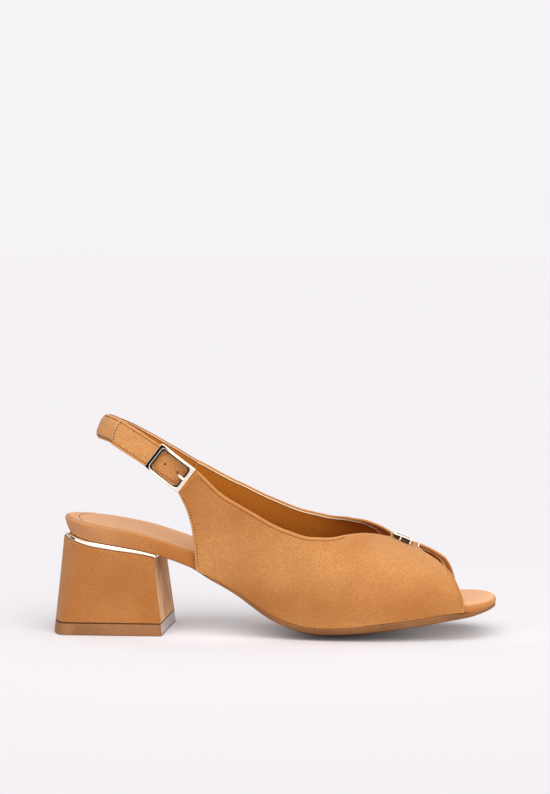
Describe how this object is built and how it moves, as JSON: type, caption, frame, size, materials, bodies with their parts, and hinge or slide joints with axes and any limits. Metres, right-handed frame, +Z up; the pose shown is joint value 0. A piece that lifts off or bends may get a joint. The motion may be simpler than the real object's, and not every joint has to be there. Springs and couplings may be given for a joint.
{
  "type": "block heel sandal",
  "caption": "Open-toe slingback sandal for the right foot, with a petal upper, a buckled heel strap and a flared block heel.",
  "frame": {"origin": "on the floor, under the middle of the shoe's bounding box", "axes": "+X from heel to toe, +Y towards the inner side of the right foot, +Z up"},
  "size_m": [0.2343, 0.0755, 0.1165],
  "materials": {
    "outsole": "matte brown",
    "footbed": "tan nubuck wrap",
    "insole": "pale tan sock",
    "heel_plate": "polished gold colour",
    "heel_block": "tan nubuck cover",
    "top_lift": "matte brown",
    "upper": "tan nubuck",
    "buckle_strap": "tan nubuck, stitched",
    "buckle_frame": "polished gold colour",
    "buckle_prong": "polished gold colour",
    "vamp_clip": "polished gold colour",
    "vamp_bar": "polished gold colour"
  },
  "bodies": {
    "root": {"outsole": "outsole", "footbed": "footbed", "insole": "insole", "heel_plate": "heel_plate", "heel_block": "heel_block", "top_lift": "top_lift", "upper": "upper", "buckle_strap": "buckle_strap", "buckle_frame": "buckle_frame", "buckle_prong": "buckle_prong", "vamp_clip": "vamp_clip", "vamp_bar": "vamp_bar"}
  },
  "joints": []
}
